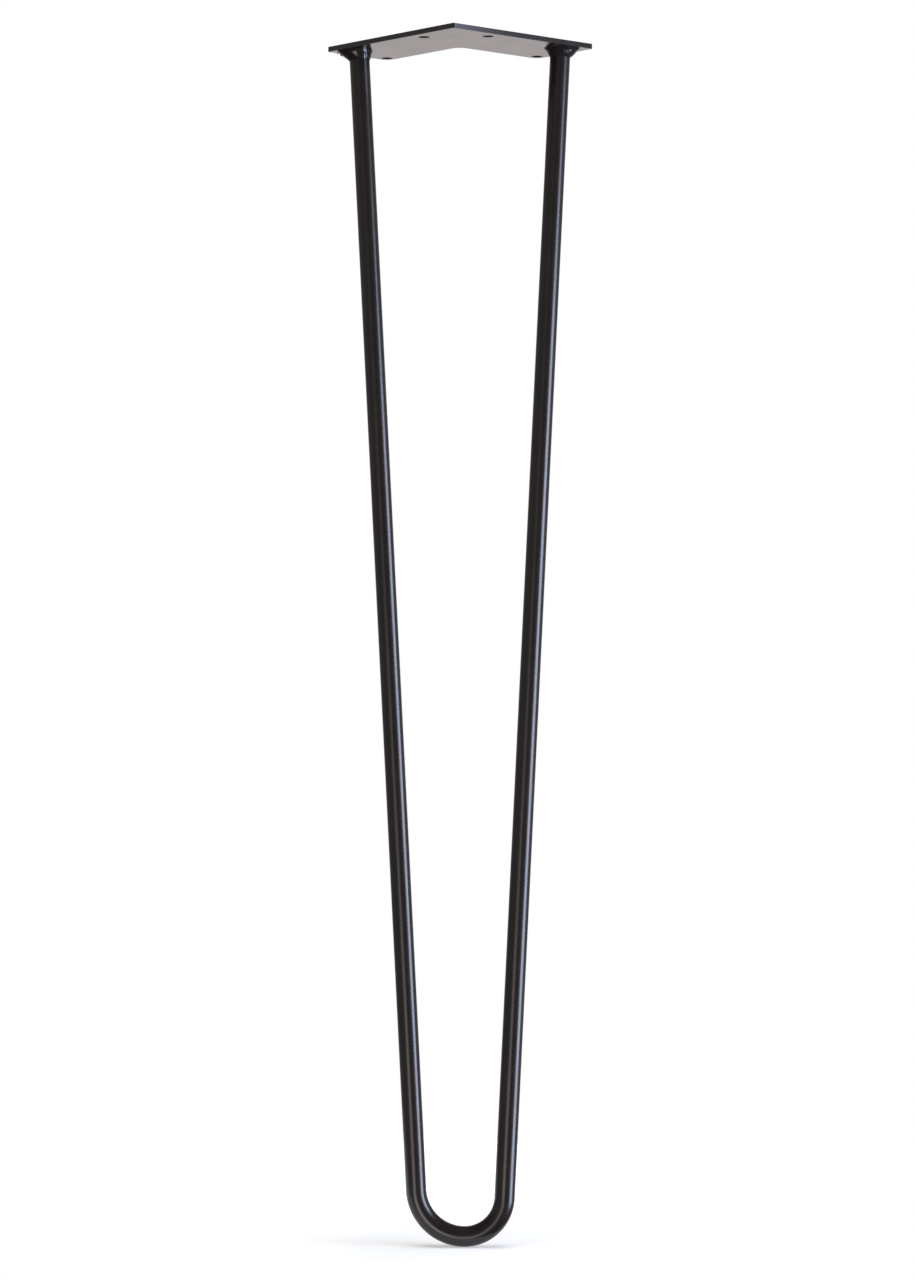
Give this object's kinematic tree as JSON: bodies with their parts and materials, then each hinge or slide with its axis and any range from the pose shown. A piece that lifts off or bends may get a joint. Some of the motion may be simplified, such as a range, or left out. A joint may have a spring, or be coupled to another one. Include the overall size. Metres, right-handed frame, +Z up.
{
  "type": "hairpin table leg",
  "caption": "Slender table leg: a round steel bar bent into a narrow U, its ends welded under an L-shaped plate that screws to the underside of a table top.",
  "frame": {"origin": "on the plate's top face, midway between the two front screw holes", "axes": "+Z up into the table top, -Y towards the plate's outer corner, X across the leg"},
  "size_m": [0.1582, 0.1109, 0.711],
  "materials": {
    "coated_plate": "satin black powder coat on steel sheet",
    "coated_bar": "satin black powder coat on a drawn steel bar",
    "coated_weld": "black powder coat, glossier over the weld"
  },
  "bodies": {
    "root": {"mounting_plate": "coated_plate", "hairpin_rod": "coated_bar", "weld_bead_left": "coated_weld", "weld_bead_right": "coated_weld"}
  },
  "joints": []
}
